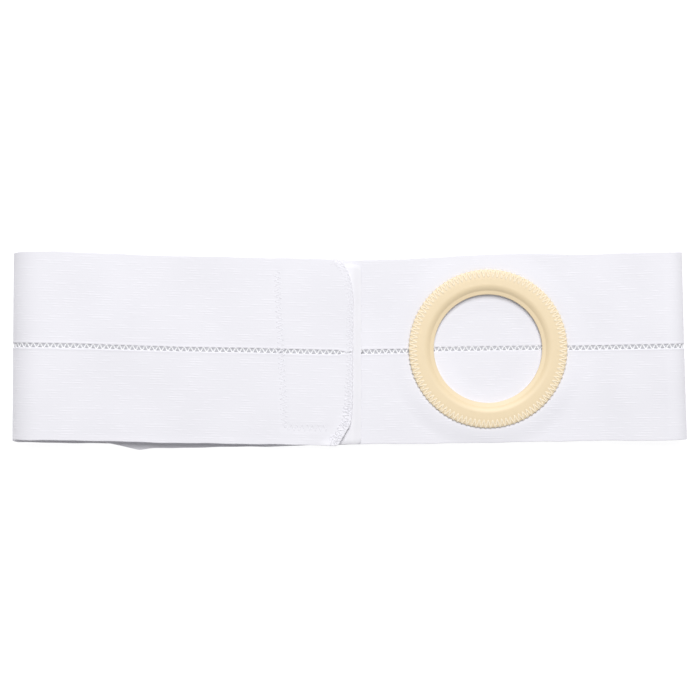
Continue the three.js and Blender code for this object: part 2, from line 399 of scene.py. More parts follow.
def edge(along, upper):
    """Distance from the seam to the upper or the lower edge, with its corners, slack and unevenness."""
    reach = column("upper", along) if upper else LOWER_EDGE
    uneven = sum(w.out * np.sin(along / w.length + w.ahead * upper) for w in WOBBLES)
    cut = corner_cut(along, INNER_CORNER, None if upper else INNER_TRIM)
    cut = cut + corner_cut(BELT_LENGTH - along, OUTER_CORNER, None if upper else OUTER_TRIM)
    rows = UPPER_SLACK if upper else LOWER_SLACK
    slack = sum(s.out * ease(along, s.start, s.full) * ease(along, s.gone, s.fade) for s in rows)
    return reach + uneven - cut + slack


class Skin:
    """Points, faces and weave coordinates gathered for one piece."""

    def __init__(self):
        self.points, self.faces, self.weave = [], [], []
        self.count = 0

    def add(self, grid, weave, loop=False):
        """Adds a closed body of rows of points that run round it. A loop joins its last row to its first."""
        rows, cols = grid.shape[:2]
        r, c = np.meshgrid(np.arange(rows if loop else rows - 1), np.arange(cols), indexing="ij")
        ways = ((r, c), (r, c + 1), (r + 1, c + 1), (r + 1, c))
        quads = np.stack([(a % rows) * cols + b % cols for a, b in ways], -1).reshape(-1, 4)
        corners = np.stack([weave[a, b] for a, b in ways], -2).reshape(-1, 4, 2)
        flat = grid.reshape(-1, 3)
        a, b, d, e = (flat[quads[:, k]] for k in range(4))
        volume = (a * (np.cross(b, d) + np.cross(d, e))).sum()
        if volume < 0:
            quads, corners = quads[:, ::-1], corners[:, ::-1]
        faces = quads.tolist()
        spots = corners.reshape(-1, 2).tolist()
        if not loop:
            for row, forward in ((0, volume < 0), (rows - 1, volume >= 0)):
                order = range(cols) if forward else range(cols - 1, -1, -1)
                faces.append([row * cols + k for k in order])
                spots += [weave[row, k].tolist() for k in order]
        self.faces += [[k + self.count for k in face] for face in faces]
        self.weave += spots
        self.points.append(flat)
        self.count += len(flat)

    def body(self, name, material):
        """The gathered skin as an object with its material."""
        mesh = bpy.data.meshes.new(name)
        mesh.from_pydata(np.concatenate(self.points).tolist(), [], self.faces)
        mesh.uv_layers.new(name="weave").uv.foreach_set("vector", np.array(self.weave, np.float32).ravel())
        mesh.shade_smooth()
        mesh.materials.append(material)
        body = bpy.data.objects.new(name, mesh)
        bpy.context.scene.collection.objects.link(body)
        return body

    def piece(self, name, material, slot, *nodes):
        """A body that rides on the belt, which hides the solids that it stands for. Its slot is not used."""
        piece = self.body(name, material)
        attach(piece, "root")
        if nodes:
            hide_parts(*nodes)
        return piece


def run_along(path):
    """Distance of each point of a path from its start."""
    return np.concatenate(([0], np.cumsum(np.linalg.norm(np.diff(path, axis=0), axis=1))))


THREAD_SIDES = 8
THREAD_LAY = 2.2  # length of one twist of a thread, in its own diameters
PLY_GROOVE = 0.14  # depth of the groove between a thread's two plies, as a share of its radius


def add_thread(skin, path, reference, diameter, flat=1.0, loop=False):
    """Adds a two-ply thread along a path in metres, its height along the reference flattened as flat says."""
    if loop:
        forward = np.roll(path, -1, 0) - np.roll(path, 1, 0)
    else:
        forward = np.gradient(path, axis=0)
    forward /= np.linalg.norm(forward, axis=1, keepdims=True)
    up = reference - (reference * forward).sum(1, keepdims=True) * forward
    up /= np.linalg.norm(up, axis=1, keepdims=True)
    side = np.cross(forward, up)
    run = run_along(path)
    angle = 2 * math.pi * np.arange(THREAD_SIDES) / THREAD_SIDES
    twisted = angle[None] + math.pi * run[:, None] / (THREAD_LAY * diameter)
    radius = diameter / 2 * (1 - PLY_GROOVE * (0.5 - 0.5 * np.cos(2 * twisted)))
    ring = (np.cos(angle) * radius)[..., None] * side[:, None]
    ring = ring + (flat * np.sin(angle) * radius)[..., None] * up[:, None]
    turns = np.arange(THREAD_SIDES + 1) / THREAD_SIDES
    rows = np.append(run, run[-1] + np.linalg.norm(path[0] - path[-1])) if loop else run
    weave = np.stack(np.broadcast_arrays(rows[:, None], turns[None] * diameter * math.pi), -1)
    skin.add(path[:, None] + ring, weave, loop)


SWING_SHARPNESS = 0.97  # 1 would give a zigzag with sharp turns
SAMPLES = 9  # points along one stroke of a zigzag


def swing(turns):
    """A zigzag with rounded turns, once each way for every whole number."""
    return np.arcsin(SWING_SHARPNESS * np.sin(2 * math.pi * turns)) / math.asin(SWING_SHARPNESS)


def zigzag(length, stitch):
    """Shares of a seam's length at the points of its zigzag, and how far each point has swung."""
    turns = round(length / stitch)
    share = np.linspace(0, 1, turns * 2 * SAMPLES + 1)
    return share, swing(turns * share)


def linear(code):
    """An sRGB hex colour as linear numbers."""
    parts = [int(code[k : k + 2], 16) / 255 for k in (1, 3, 5)]
    return [p / 12.92 if p <= 0.04045 else ((p + 0.055) / 1.055) ** 2.4 for p in parts]


def shade_of(colour, share):
    """A darker or lighter shade of a colour, as a node's colour."""
    return (*[c * share for c in colour], 1.0)


def add_node(tree, kind, settings=None, inputs=None):
    """Adds a shader node with its settings, and its inputs set, or linked where the value is a socket."""
    made = tree.nodes.new("ShaderNode" + kind)
    for name, value in (settings or {}).items():
        setattr(made, name, value)
    for name, value in (inputs or {}).items():
        if isinstance(value, bpy.types.NodeSocket):
            tree.links.new(value, made.inputs[name])
        else:
            made.inputs[name].default_value = value
    return made


def new_material(name):
    """A material with an empty node tree, and a function that adds nodes to it."""
    made = bpy.data.materials.new(name)
    made.use_nodes = True
    made.node_tree.nodes.clear()
    return made, partial(add_node, made.node_tree)


def finish_material(made, colour, shades, tone, bump, surface):
    """Ends a material: two shades of its colour mixed by a tone, a bump, and the surface of its shader."""
    add = partial(add_node, made.node_tree)
    dark, light = (shade_of(colour, share) for share in shades)
    mixed = add("Mix", {"data_type": "RGBA"}, {"Factor": tone, 6: dark, 7: light})
    normal = add("Bump", inputs=bump)
    base = {"Base Color": mixed.outputs[2], "Normal": normal.outputs[0]}
    shader = add("BsdfPrincipled", inputs={**base, **surface})
    add("OutputMaterial", inputs={"Surface": shader.outputs["BSDF"]})
    return made


WAVE_TURN = 2 * math.pi / 20  # the wave texture's scale for a band one unit wide

# Sizes of the materials' patterns
RIB_PATCH = (10 * MM, 3 * MM)  # along and across the elastic, where its rubber has drawn the ribs together
ELASTIC_CLOUD = 45 * MM
PLY_PITCH = 0.9 * MM
VINYL_CLOUD = 18 * MM
VINYL_GRAIN = 0.8 * MM
PICK_PITCH = 0.9 * MM  # between the cross threads of the tape
TAPE_CLOUD = 12 * MM


def woven_elastic(look):
    """Polyester and rubber elastic, narrow-woven: matt white, with fine ribs that break into streaks."""
    made, add = new_material("woven_polyester_elastic")
    place = add("UVMap", {"uv_map": "weave"}).outputs["UV"]
    # The real ribs are 0.6 mm apart, too fine to show, so they are drawn at the look's rib pitch.
    ribs = add(
        "TexWave",
        {"wave_type": "BANDS", "bands_direction": "Y"},
        {"Vector": place, "Scale": WAVE_TURN / look.rib_pitch, "Distortion": 0.0},
    )
    patch_scale = (1 / RIB_PATCH[0], 1 / RIB_PATCH[1], 1)
    stretched = add("VectorMath", {"operation": "MULTIPLY"}, {0: place, 1: patch_scale})
    patches = add(
        "TexNoise",
        {"noise_dimensions": "2D"},
        {"Vector": stretched.outputs[0], "Scale": 1.0, "Detail": 2.0, "Roughness": 0.6},
    ).outputs["Fac"]
    drawn = add(
        "MapRange",
        inputs={"Value": patches, "From Min": 0.5, "From Max": 0.7, "To Min": 0.12, "To Max": 1.0},
    )
    height = add("Math", {"operation": "MULTIPLY"}, {0: ribs.outputs["Fac"], 1: drawn.outputs[0]}).outputs[0]
    cloud = add(
        "TexNoise",
        {"noise_dimensions": "2D"},
        {"Vector": place, "Scale": 1 / ELASTIC_CLOUD, "Detail": 1.0},
    )
    # The tone is partly painted shade: the rib height makes the colour darker in the ribs' troughs and
    # lighter on their crests, where the bump shades them as well; the cloud adds tone that varies at random.
    both = add("Math", {"operation": "MULTIPLY_ADD"}, {0: height, 1: 0.5, 2: cloud.outputs["Fac"]})
    tone = add("MapRange", inputs={"Value": both.outputs[0], "From Min": 0.3, "From Max": 1.1})
    return finish_material(
        made,
        look.elastic,
        shades=(0.975, 1.035),
        tone=tone.outputs[0],
        bump={"Strength": 1.0, "Distance": 0.06 * MM, "Height": height},
        surface={"Roughness": 0.88, "Specular IOR Level": 0.25, "Sheen Weight": 0.12, "Sheen Roughness": 0.5},
    )


def spun_thread(name, colour):
    """Spun polyester thread, or the grey tape under the open seam: soft sheen, with slanting plies. Their
    tone is painted shade, darker in the grooves between the plies.
    """
    made, add = new_material(name)
    place = add("UVMap", {"uv_map": "weave"}).outputs["UV"]
    plies = add(
        "TexWave",
        {"wave_type": "BANDS", "bands_direction": "DIAGONAL"},
        {"Vector": place, "Scale": WAVE_TURN / PLY_PITCH, "Distortion": 0.0},
    ).outputs["Fac"]
    # painted shade: the ply bands darken the colour in the grooves between the plies
    return finish_material(
        made,
        colour,
        shades=(0.93, 1.03),
        tone=plies,
        bump={"Strength": 0.4, "Distance": 0.1 * MM, "Height": plies},
        surface={"Roughness": 0.6, "Specular IOR Level": 0.35, "Sheen Weight": 0.15},
    )


def moulded_vinyl(look):
    """Soft vinyl, compression moulded: satin ivory with a faint cloudiness and a fine skin off the mould."""
    made, add = new_material("moulded_soft_vinyl")
    place = add("TexCoord").outputs["Object"]
    cloud = add(
        "TexNoise",
        inputs={"Vector": place, "Scale": 1 / VINYL_CLOUD, "Detail": 3.0, "Roughness": 0.55},
    )
    grain = add("TexNoise", inputs={"Vector": place, "Scale": 1 / VINYL_GRAIN, "Detail": 2.0})
    return finish_material(
        made,
        look.ring,
        shades=(0.97, 1.03),
        tone=cloud.outputs["Fac"],
        bump={"Strength": 0.12, "Distance": 0.1 * MM, "Height": grain.outputs["Fac"]},
        surface={"Roughness": 0.44, "IOR": 1.53, "Specular IOR Level": 0.5},
    )


def woven_tape(look):
    """Nylon hook tape, woven and coated: smooth plain edge with a faint cross weave."""
    made, add = new_material("woven_nylon_hook_tape")
    place = add("UVMap", {"uv_map": "weave"}).outputs["UV"]
    picks = add(
        "TexWave",
        {"wave_type": "BANDS", "bands_direction": "Y"},
        {"Vector": place, "Scale": WAVE_TURN / PICK_PITCH, "Distortion": 0.4},
    )
    cloud = add("TexNoise", inputs={"Vector": place, "Scale": 1 / TAPE_CLOUD, "Detail": 2.0})
    return finish_material(
        made,
        look.tape,
        shades=(0.97, 1.03),
        tone=cloud.outputs["Fac"],
        bump={"Strength": 0.15, "Distance": 0.1 * MM, "Height": picks.outputs["Fac"]},
        surface={"Roughness": 0.55, "Specular IOR Level": 0.3},
    )


def light_table(look):
    """Opal acrylic, cast and sanded, lit from below as on a light table: white, with only faint shadows."""
    made, add = new_material("cast_opal_acrylic")
    shader = add(
        "BsdfPrincipled",
        inputs={
            "Base Color": (*look.floor, 1.0),
            "Roughness": 0.9,
            "Specular IOR Level": 0.1,
            "Emission Color": (1.0, 1.0, 1.0, 1.0),
            "Emission Strength": look.floor_glow,
        },
    )
    add("OutputMaterial", inputs={"Surface": shader.outputs["BSDF"]})
    return made


def length_of(name, description, default):
    """A length in metres that a user may change."""
    return bpy.props.FloatProperty(name=name, description=description, default=default, unit="LENGTH")


def colour_of(name, description, code):
    """A colour that a user may change, from its sRGB hex value."""
    default = linear(code)
    return bpy.props.FloatVectorProperty(name=name, description=description, default=default, subtype="COLOR")


class BeltSizes(bpy.types.PropertyGroup):
    """Sizes of the stitches and their threads"""

    seam_stitch: length_of("Seam stitch", "Length of one zigzag of the open seam", 0.0036)
    seam_thread: length_of("Seam thread", "Thickness of the open seam's thread", 0.00085)
    ring_stitch: length_of("Ring stitch", "Length of one zigzag round the ring's rim", 0.0027)
    ring_thread: length_of("Ring thread", "Thickness of the thread round the ring", 0.0008)
    tape_stitch: length_of("Tape stitch", "Length of one zigzag that holds the hook tape", 0.0029)
    tape_thread: length_of("Tape thread", "Thickness of the thread that holds the hook tape", 0.0005)
    overlock_stitch: length_of("Overlock stitch", "Distance between the stitches of an end", 0.0024)
    overlock_thread: length_of("Overlock thread", "Thickness of the stitches of an end", 0.0008)


class BeltLooks(bpy.types.PropertyGroup):
    """Colours of the pieces and the look of the floor"""

    elastic: colour_of("Elastic", "Colour of the elastic", "#ebeaf0")
    rib_pitch: length_of("Rib pitch", "Drawn distance between the elastic's ribs", 0.0014)
    thread: colour_of("Thread", "Colour of the white thread", "#f6f6f9")
    # Painted shade: the grey under the open seam stands in for the shade inside the seam
    painted_shade: colour_of("Seam ground", "Colour under the open seam", "#bebec4")
    ring: colour_of("Ring", "Colour of the ring", "#ead6b2")
    ring_thread: colour_of("Ring thread", "Colour of the ring's thread", "#f9ebd1")
    tape: colour_of("Hook tape", "Colour of the hook tape", "#ecebf0")
    floor: colour_of("Floor", "Colour of the floor", "#8a8a8c")
    floor_glow: bpy.props.FloatProperty(
        name="Floor glow", description="Strength of the light from under the floor", default=0.9
    )


class BeltStudio(bpy.types.PropertyGroup):
    """The camera and the light"""

    camera_height: length_of("Camera height", "Height of the camera over the table", 0.814)
    lens: bpy.props.FloatProperty(
        name="Lens", description="Focal length on a 36 mm sensor", default=74.4, unit="CAMERA"
    )
    key: bpy.props.FloatProperty(
        name="Key light", description="Power of the light beyond the upper edge", default=54.0, unit="POWER"
    )
    ambient: bpy.props.FloatProperty(
        name="Ambient", description="Brightness of the studio's white walls", default=0.3
    )


FACE_COLUMNS = 38
EDGE_COLUMNS = 5
EDGE_ROUND = 0.3  # how far a rounded edge reaches across, as a share of half of the thickness
SEAM_ROUND = 0.9  # the same for the edges beside the open seam, which its stitches roll in
SEAM_COLUMNS = 8  # closer columns beside the open seam
EVEN_FROM, EVEN_TO = 0.06, 0.994  # shares of a strip's width between which its columns are even
ROW_STEP = 1.2
LEAST_STEP = 0.02
CORNER_ROWS = 13
RIM_ROWS, RIM_START = 5, 0.25  # rows on the rounded rim of an end, and the angle where they start


def strip_rows():
    """Distances along the belt for rows of points, closer where the ends are rounded."""
    turned = 1 - np.cos(np.linspace(0, math.pi / 2, CORNER_ROWS + 1)[1:])
    rim = HALF * (1 - np.cos(np.linspace(RIM_START, math.pi / 2, RIM_ROWS)))
    near = [rim, INNER_CORNER.along * turned]
    far = [BELT_LENGTH - rim, BELT_LENGTH - OUTER_CORNER.along * turned]
    rows = np.sort(np.concatenate((*near, *far, np.arange(ROW_STEP, BELT_LENGTH - ROW_STEP, ROW_STEP))))
    return rows[np.append(True, np.diff(rows) > LEAST_STEP)]


def slab(along, low, high, half, face, low_round=EDGE_ROUND, high_round=EDGE_ROUND):
    """Rows round a thin slab with rounded edges: its points along it, across it and out of its middle.

    The shares of its width in face are where the columns of points lie on each of its two faces.
    """
    bend = np.linspace(math.pi / 2, -math.pi / 2, EDGE_COLUMNS + 2)[1:-1]
    low, high, half = low[:, None], high[:, None], half[:, None]
    first, last = low + low_round * half, high - high_round * half
    flat = first + (last - first) * face
    turn = half * (1 - np.cos(bend))
    across = np.hstack((flat, high - high_round * turn, flat[:, ::-1], low + low_round * turn))
    level = half * np.ones_like(face)
    out = np.hstack((level, half * np.sin(bend), -level, -half * np.sin(bend)))
    return along[:, None] * np.ones_like(across), across, out


def rolled(from_end, half):
    """Half of the thickness of a wall whose end is rounded."""
    return half * np.sqrt(1 - np.clip(1 - from_end / half, 0, 1) ** 2)


def wrap(weave):
    """Weave coordinates in metres with the first column repeated, to close a row."""
    return np.concatenate((weave, weave[:, :1]), 1) * MM


def elastic_strip(name, upper, material, node):
    """One strip of elastic: a thin wall with rolled edges that follows the whole belt."""
    along = strip_rows()
    outer = edge(along, upper)
    inner = seam_half(along) + (seam_middle(along) if upper else -seam_middle(along))
    low, high = (inner, outer) if upper else (-outer, -inner)
    half = rolled(np.minimum(along, BELT_LENGTH - along), HALF)
    beside_seam = np.linspace(0, EVEN_FROM, SEAM_COLUMNS + 1)[:-1]
    face = np.concatenate((beside_seam, np.linspace(EVEN_FROM, EVEN_TO, FACE_COLUMNS), (1,)))
    ends = (SEAM_ROUND, EDGE_ROUND) if upper else (EDGE_ROUND, SEAM_ROUND)
    rows, across, out = slab(along, low, high, half, face if upper else 1 - face[::-1], *ends)
    out = sewn_down(rows, across, out) + relief(rows, across)
    skin = Skin()
    skin.add(belt_place(rows, across, out), wrap(np.stack((rows, across), -1)))
    strip = skin.piece(name, material, "elastic", node)
    cut_hole(strip)


HOLE_SIDES = 128
PLUG_SPARE = 0.15  # how far the cutting plug reaches past the front panel's two faces


def cut_hole(strip):
    """Cuts the round hole behind the ring out of the front panel, then pushes the back panel up under it."""
    skin = Skin()
    angle = np.linspace(0, 2 * math.pi, HOLE_SIDES, endpoint=False)
    rim = np.stack((np.cos(angle), np.sin(angle), np.zeros_like(angle)), -1) * FABRIC_HOLE * MM
    heights = np.array((FRONT_Z - HALF - PLUG_SPARE, FRONT_Z + HALF + PLUG_SPARE)) * MM
    grid = np.stack([rim + RING_FOOT + (0, 0, z) for z in heights])
    skin.add(grid, np.zeros((len(heights), HOLE_SIDES + 1, 2)))
    plug = skin.body("hole_plug", strip.data.materials[0])
    cut = strip.modifiers.new("hole", "BOOLEAN")
    cut.object = plug
    cut.operation = "DIFFERENCE"
    cut.solver = "EXACT"
    finished = strip.evaluated_get(bpy.context.evaluated_depsgraph_get())
    mesh = bpy.data.meshes.new_from_object(finished)
    spots = np.array([vertex.co for vertex in mesh.vertices])
    beside, across, _ = ((spots - RING_FOOT) / MM).T
    on_back = spots[:, 2] < (BACK_Z + ELASTIC) * MM
    spots[:, 2] += np.where(on_back, pushed_up(beside, across), 0) * MM
    mesh.vertices.foreach_set("co", spots.ravel())
    mesh.update()
    strip.modifiers.clear()
    strip.data = mesh
    bpy.data.objects.remove(plug)


class BELT_OT_elastic(bpy.types.Operator):
    """Makes the upper and the lower strip of woven elastic"""

    bl_idname = "belt.elastic"
    bl_label = "Elastic strips"

    def execute(self, context):
        material = woven_elastic(context.scene.belt_looks)
        elastic_strip("upper_elastic", True, material, "upper_strip")
        elastic_strip("lower_elastic", False, material, "lower_strip")
        return {"FINISHED"}


SEAM_END = 1.0  # between the ends of the belt and the ends of the open seam's stitches
SEAM_BITE = 0.4  # how far the open seam's stitches reach into each strip
SEAM_RISE = 0.15  # of the thread over the wall's middle, half way across the open seam
SEAM_TURN_RISE = 0.4  # how much higher it lies where it turns on the strips


def open_stretches(start):
    """The open seam's stretches before and after the ring's hole, as distances along the belt."""
    hole = FABRIC_HOLE + CLEARANCE
    return (start, RING_ALONG - hole), (RING_ALONG + hole, BELT_LENGTH - SEAM_END)


def seam_zigzag(sizes, material):
    """The zigzag thread that joins the two strips."""
    skin = Skin()
    for first, last in open_stretches(SEAM_END):
        share, swung = zigzag(last - first, sizes.seam_stitch / MM)
        along = first + (last - first) * share
        across = seam_middle(along) + (seam_half(along) + SEAM_BITE) * swung
        out = (SEAM_RISE + SEAM_TURN_RISE * swung**4) * facing_up(along)
        out = sewn_down(along, across, out) + relief(along, across)
        out = out - pushed_up(UNDER_RING - along, across)
        add_thread(skin, belt_place(along, across, out), belt_out(along), sizes.seam_thread, flat=0.7)
    skin.piece("open_seam_zigzag", material, "seam_thread", "inner_seam", "outer_seam")


GROUND_START = 0.5  # how far past the tape's free edge the grey tape under the open seam starts
GROUND_PLAY = 0.01  # between it and the strips
GROUND_THICKNESS = 0.3
GROUND_RAISE = 0.1  # of its middle over the middle of the strips' wall
GROUND_COLUMNS = 4


def seam_shade_tape(material):
    """The flat grey tape between the strips: its grey is painted shade standing in for the shade inside the
    open seam, and it closes the seam to light from below.
    """
    skin = Skin()
    for first, last in open_stretches(HOOK_RIGHT + GROUND_START - INNER_END_X):
        along = np.linspace(first, last, round((last - first) / ROW_STEP))
        middle = seam_middle(along)
        wide = seam_half(along) - GROUND_PLAY
        half = np.full_like(along, GROUND_THICKNESS / 2)
        rows, across, out = slab(along, middle - wide, middle + wide, half, np.linspace(0, 1, GROUND_COLUMNS))
        out = sewn_down(rows, across, out + GROUND_RAISE * facing_up(rows)) + relief(rows, middle[:, None])
        out = out - pushed_up(UNDER_RING - rows, across)
        skin.add(belt_place(rows, across, out), wrap(np.stack((rows, across), -1)))
    skin.piece("open_seam_shade_tape", material, "seam_thread")


class BELT_OT_open_seam(bpy.types.Operator):
    """Makes the zigzag stitches across the open seam and the flat grey tape behind them, whose grey is
    painted shade
    """

    bl_idname = "belt.open_seam"
    bl_label = "Open seam"

    def execute(self, context):
        looks = context.scene.belt_looks
        seam_zigzag(context.scene.belt_sizes, spun_thread("spun_polyester_white", looks.thread))
        # the grey tape's material is painted shade for the inside of the open seam
        seam_shade_tape(spun_thread("spun_thread_painted_shade", looks.painted_shade))
        return {"FINISHED"}


RING_BASE = FRONT_FACE_Z + CLEARANCE
RING_RADIUS = RING_SECTION[2].x  # to the outside of its rim
RIM = Ramp(41.5, 43.8)  # radius over which the stitches draw the rim in
RIM_PULL = 0.1  # how far each stitch draws it towards the middle
RIM_SINK = 0.04  # and down, as a share of its height
STITCH_COLUMNS = 8


def ring_stitches(sizes):
    """How many zigzags go round the ring's rim."""
    return round(2 * math.pi * RING_RADIUS * MM / sizes.ring_stitch)


class BELT_OT_ring(bpy.types.Operator):
    """Makes the moulded ring, its rim drawn in a little by every stitch"""

    bl_idname = "belt.ring"
    bl_label = "Moulded ring"

    def execute(self, context):
        stitches = ring_stitches(context.scene.belt_sizes)
        section = rounded(RING_SECTION, SECTION_STEP, closed=True)
        angle = np.linspace(0, 2 * math.pi, stitches * STITCH_COLUMNS, endpoint=False)
        radius = section.x[None, :-1]
        pulled = ease(radius, *RIM) * (0.5 - 0.5 * np.cos(stitches * angle)[:, None])
        radius = radius - RIM_PULL * pulled
        height = RING_BASE + section.z[None, :-1] * (1 - RIM_SINK * pulled)
        x, y = radius * np.cos(angle)[:, None], radius * np.sin(angle)[:, None]
        round_it = np.append(angle, 2 * math.pi) * RING_RADIUS * MM
        weave = np.stack(np.broadcast_arrays(round_it[:, None], section.along[None] * MM), -1)
        skin = Skin()
        skin.add(np.stack((x, y, height), -1) * MM + RING_FOOT, weave, loop=True)
        skin.piece("moulded_ring", moulded_vinyl(context.scene.belt_looks), "ring_vinyl", "belt_ring")
        return {"FINISHED"}


RING_STITCH_IN = 39.8  # radius where the ring's stitches start on its face
RING_STITCH_OUT = 44.15  # radius where they go into the elastic beside the rim
RING_SAMPLES = 13  # points along one of their strokes
OUTER_TURN = 0.25  # of a zigzag, so that the first stitch starts at the elastic
THREAD_LIFT = 0.03  # of the thread's middle off the ring, in its diameters

# How high the ring's stitches lie over its base, on its face and down over its rim
Laid = namedtuple("Laid", "radius height")
RING_LAY = (
    Laid(39.0, 2.49),
    Laid(42.9, 2.29),
    Laid(43.7, 2.0),
    Laid(44.2, 1.5),
    Laid(44.6, 0.9),
)


class BELT_OT_ring_stitches(bpy.types.Operator):
    """Makes the zigzag that sews the ring's rim to the elastic"""

    bl_idname = "belt.ring_stitches"
    bl_label = "Ring stitches"

    def execute(self, context):
        sizes = context.scene.belt_sizes
        stitches = ring_stitches(sizes)
        share = np.linspace(0, 1, stitches * 2 * RING_SAMPLES, endpoint=False)
        angle = 2 * math.pi * share
        middle, reach = (RING_STITCH_IN + RING_STITCH_OUT) / 2, (RING_STITCH_OUT - RING_STITCH_IN) / 2
        radius = middle + reach * swing(stitches * share + OUTER_TURN)
        height = RING_BASE + np.interp(radius, *zip(*RING_LAY)) + THREAD_LIFT * sizes.ring_thread / MM
        path = np.stack((radius * np.cos(angle), radius * np.sin(angle), height), -1) * MM + RING_FOOT
        up = np.tile((0.0, 0.0, 1.0), (len(path), 1))
        skin = Skin()
        add_thread(skin, path, up, sizes.ring_thread, flat=0.5, loop=True)
        material = spun_thread("spun_polyester_ivory", context.scene.belt_looks.ring_thread)
        skin.piece("ring_zigzag", material, "ring_vinyl")
        return {"FINISHED"}


TAPE_FOOT = FRONT_FACE_Z + CLEARANCE
TAPE_TOP = TAPE_FOOT + HOOK_THICKNESS
TAPE_BASE = 0.8  # thickness of the hook tape's woven base
TAPE_THINNED = 0.6  # share of that which its free edge lacks
TAPE_DROOP = 1.2  # how far its free edge hangs down
DROOP_START = 0.5  # how far under the outer end that starts
TAPE_STEP = 1.0  # between the rows of its points
TAPE_CORNER_ROWS, TAPE_CORNER_START = 9, 0.1  # rows on a rounded corner, and the angle where they start
HOOK_PITCH = 1.7  # between the tape's hooks
HOOK_MARGIN, HOOK_END_MARGIN = 2, 1  # from the tape's edges, and from the outer end
HOOK_BEND = 0.35  # how far a hook's tip leans towards the tape's upper or lower end

# A hook from its root down: half of its width, the share of its bend, and its height
Stem = namedtuple("Stem", "half bent z")
HOOK_STEM = (
    Stem(0.22, 0.0, TAPE_TOP - TAPE_BASE),
    Stem(0.16, 0.2, TAPE_FOOT + 0.35),
    Stem(0.3, 1.0, TAPE_FOOT),
)


def add_tape_base(skin):
    """Adds the woven base of the hook tape, whose free edge is thinned and hangs down."""
    half = TAPE_BASE / 2
    width = HOOK_RIGHT - HOOK_LEFT
    turned = HOOK_CORNER * (1 - np.cos(np.linspace(TAPE_CORNER_START, math.pi / 2, TAPE_CORNER_ROWS)))
    between = np.arange(HOOK_CORNER + TAPE_STEP, width - HOOK_CORNER, TAPE_STEP)
    from_left = np.concatenate((turned, between, width - turned[::-1]))
    from_side = np.minimum(from_left, width - from_left)
    cut = HOOK_CORNER * quarter(1 - from_side / HOOK_CORNER)
    thinned = 1 - TAPE_THINNED * ease(HOOK_LEFT + from_left, OUTER_END_X, HOOK_RIGHT)
    thick = rolled(from_side, half) * thinned
    low, high = HOOK_BOTTOM + cut, HOOK_TOP - cut
    rows, across, out = slab(from_left, low, high, thick, np.linspace(0, 1, FACE_COLUMNS))
    x = HOOK_LEFT + rows
    droop = TAPE_DROOP * ease(x, OUTER_END_X - DROOP_START, HOOK_RIGHT)
    grid = np.stack((x, across, TAPE_TOP - half + out - droop), -1)
    skin.add(grid * MM + SHIFT, wrap(np.stack((across, rows), -1)))


def add_tape_hooks(skin):
    """Adds the rows of hooks below the tape's base, which lean to its two ends by turns."""
    columns = np.arange(HOOK_LEFT + HOOK_MARGIN, OUTER_END_X - HOOK_END_MARGIN, HOOK_PITCH)
    lines = np.arange(HOOK_BOTTOM + HOOK_MARGIN, HOOK_TOP - HOOK_MARGIN, HOOK_PITCH)
    square = np.array(((1, 1), (-1, 1), (-1, -1), (1, -1)))
    plain = np.zeros((len(HOOK_STEM), len(square) + 1, 2))
    for i, x in enumerate(columns):
        for k, y in enumerate(lines):
            lean = HOOK_BEND if (i + k) % 2 else -HOOK_BEND
            hook = []
            for stem in HOOK_STEM:
                corners = square * stem.half + (x, y + lean * stem.bent)
                hook.append(np.column_stack((corners, np.full(len(square), stem.z))))
            skin.add(np.stack(hook) * MM + SHIFT, plain)


class BELT_OT_hook_tape(bpy.types.Operator):
    """Makes the hook tape under the outer end: a woven base with rows of hooks below it"""

    bl_idname = "belt.hook_tape"
    bl_label = "Hook tape"

    def execute(self, context):
        skin = Skin()
        add_tape_base(skin)
        add_tape_hooks(skin)
        tape = skin.piece("hook_closure_tape", woven_tape(context.scene.belt_looks), "hook_tape", "hook_tape")
        return {"FINISHED"}


TAPE_SWING = 1.9  # how far the tape's zigzags swing to each side
TAPE_STITCH_SINK = 0.01  # of their thread's middle into the elastic


class BELT_OT_tape_stitches(bpy.types.Operator):
    """Makes the zigzags on the outer end that hold the hook tape"""

    bl_idname = "belt.tape_stitches"
    bl_label = "Tape stitches"

    def execute(self, context):
        sizes = context.scene.belt_sizes
        skin = Skin()
        for sewn in TAPE_SEAMS:
            start = np.array((sewn.x0, sewn.y0))
            way = np.array((sewn.x1, sewn.y1)) - start
            length = np.linalg.norm(way)
            share, swung = zigzag(length, sizes.tape_stitch / MM)
            beside = np.array((-way[1], way[0])) / length
            spot = start + share[:, None] * way + TAPE_SWING * swung[:, None] * beside
            along, across = flap_spot(*spot.T)
            out = HALF + relief(along, across) - TAPE_STITCH_SINK
            add_thread(skin, belt_place(along, across, out), belt_out(along), sizes.tape_thread, flat=0.45)
        material = spun_thread("spun_polyester_matched", context.scene.belt_looks.elastic)
        skin.piece("tape_zigzag", material, "seam_thread")
        return {"FINISHED"}


OVERLOCK_WIDTH = 3.9  # how far the overlock reaches in from the edge
WORN_WIDTH = 0.7  # how much further where it is worn
OVERLOCK_START = 3  # how far before the rounded corners it starts, in whole millimetres
OVERLOCK_SAMPLES = 14  # points along one of its stitches
OUTLINE_POINTS = 60  # on each rounded corner
WAY_REACH = 0.6  # to each side of a spot, for the outline's direction there
WORN = Ramp(12, 40)  # down from the seam, where the lower corner has worked loose
CORD_IN, CORD_LOOSE = 0.35, 0.2  # in from the edge, and the cord's share of the looseness
BINDING_IN = 0.3  # where the loops go round the edge
LOOP_SLIP, SLIP_RATE = 0.3, 1.7  # how far worn loops slip along, in stitches, and how quickly that varies

# How loose the stitches are, no two quite alike: how far, how quickly that varies and where it starts
Loose = namedtuple("Loose", "out rate start")
LOOSENESS = (
    Loose(0.25, 2.4, 0),
    Loose(0.2, 1.1, 2),
)

